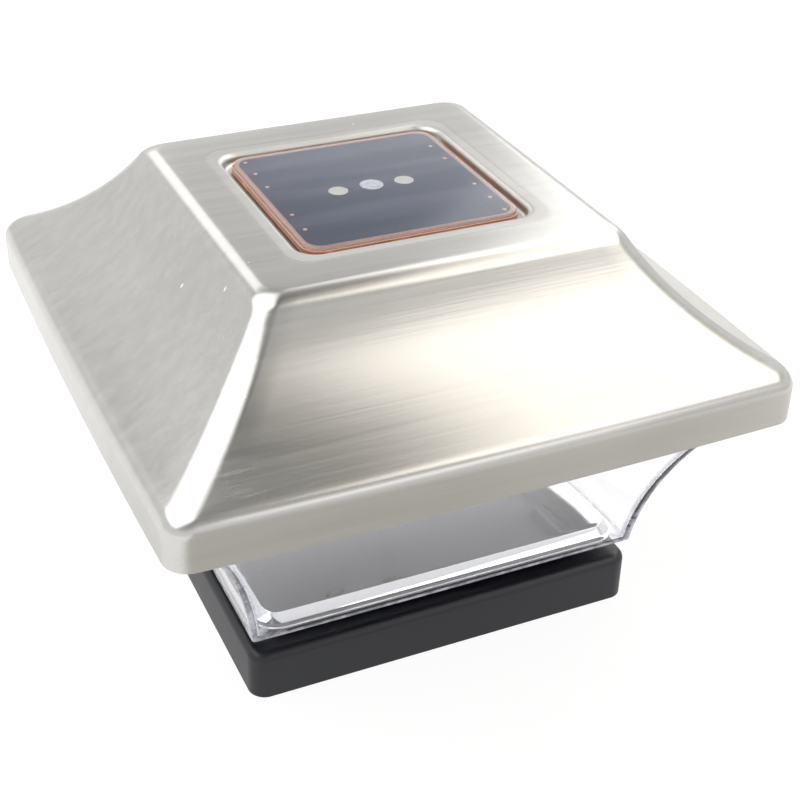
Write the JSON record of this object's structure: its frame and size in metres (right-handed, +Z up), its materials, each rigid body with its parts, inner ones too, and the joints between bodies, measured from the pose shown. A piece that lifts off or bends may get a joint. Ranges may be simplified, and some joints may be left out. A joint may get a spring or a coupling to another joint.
{
  "type": "deck post cap light",
  "caption": "Square solar post cap light: pressed steel cap with a solar panel on top, clear flared lens over a bright reflector, and a black base that slips over a post.",
  "frame": {"origin": "centre of the base's bottom rim", "axes": "+Z up through the post's axis to the solar panel, +X and +Y along the square's sides, the battery bay on the -Y side"},
  "size_m": [0.15, 0.15, 0.1012],
  "materials": {
    "black_plastic": "moulded, satin",
    "clear_plastic": "clear, polished",
    "bright_sheet": "mirror bright",
    "seal_rubber": "soft, matte",
    "grey_plastic": "moulded, matte",
    "foam": "closed-cell foam",
    "brushed_stainless": "brushed, satin",
    "panel_board": "cut laminate, lacquered",
    "silicon": "dark blue, faint bands",
    "tin": "tinned, dull",
    "copper": "copper, lacquered",
    "clear_epoxy": "clear, cast",
    "window_resin": "milky resin",
    "sensor_resin": "resin",
    "circuit_laminate": "green lacquer",
    "screw_steel": "zinc plated",
    "led_resin": "clear resin",
    "chip_resin": "moulded resin",
    "ferrite": "pressed ferrite",
    "part_ceramic": "glazed",
    "switch_steel": "nickel plated",
    "slider_plastic": "moulded",
    "cell_can": "nickel plated",
    "sleeve_film": "shrink film",
    "contact_metal": "nickel plated",
    "red_insulation": "smooth",
    "black_insulation": "smooth"
  },
  "bodies": {
    "base_body": {"base": "black_plastic"},
    "lens_unit": {"lens": "clear_plastic", "reflector_plate": "bright_sheet"},
    "head": {"lens_seal": "seal_rubber", "housing": "grey_plastic", "cap_foam_ring": "foam", "steel_cap": "brushed_stainless", "panel_tape": "foam", "solar_board": "panel_board", "solar_cells": "silicon", "joint_discs": "tin", "copper_dots": "copper", "panel_epoxy": "clear_epoxy", "sensor_window": "window_resin", "light_sensor": "sensor_resin", "circuit_board": "circuit_laminate", "board_screws": "screw_steel", "leds": "led_resin", "driver_chip": "chip_resin", "inductor": "ferrite", "board_parts": "part_ceramic", "switch_body": "switch_steel", "spring_plate": "contact_metal", "battery_spring": "contact_metal", "contact_plate": "contact_metal", "panel_wire_red": "red_insulation", "panel_wire_black": "black_insulation", "battery_wire_red": "red_insulation", "battery_wire_black": "black_insulation"},
    "slider": {"switch_slider": "slider_plastic"},
    "battery": {"battery_cell": "cell_can", "battery_sleeve": "sleeve_film"}
  },
  "joints": [
    {"name": "lens_lift", "type": "slide", "parent": "base_body", "child": "lens_unit", "axis": [0, 0, 1], "range_m": [0, 0.03]},
    {"name": "head_lift", "type": "slide", "parent": "lens_unit", "child": "head", "axis": [0, 0, 1], "range_m": [0, 0.06]},
    {"name": "switch_slide", "type": "slide", "parent": "head", "child": "slider", "axis": [1, 0, 0], "range_m": [0, 0.003]},
    {"name": "battery_pull", "type": "slide", "parent": "head", "child": "battery", "axis": [0, 0, -1], "range_m": [0, 0.02]}
  ]
}
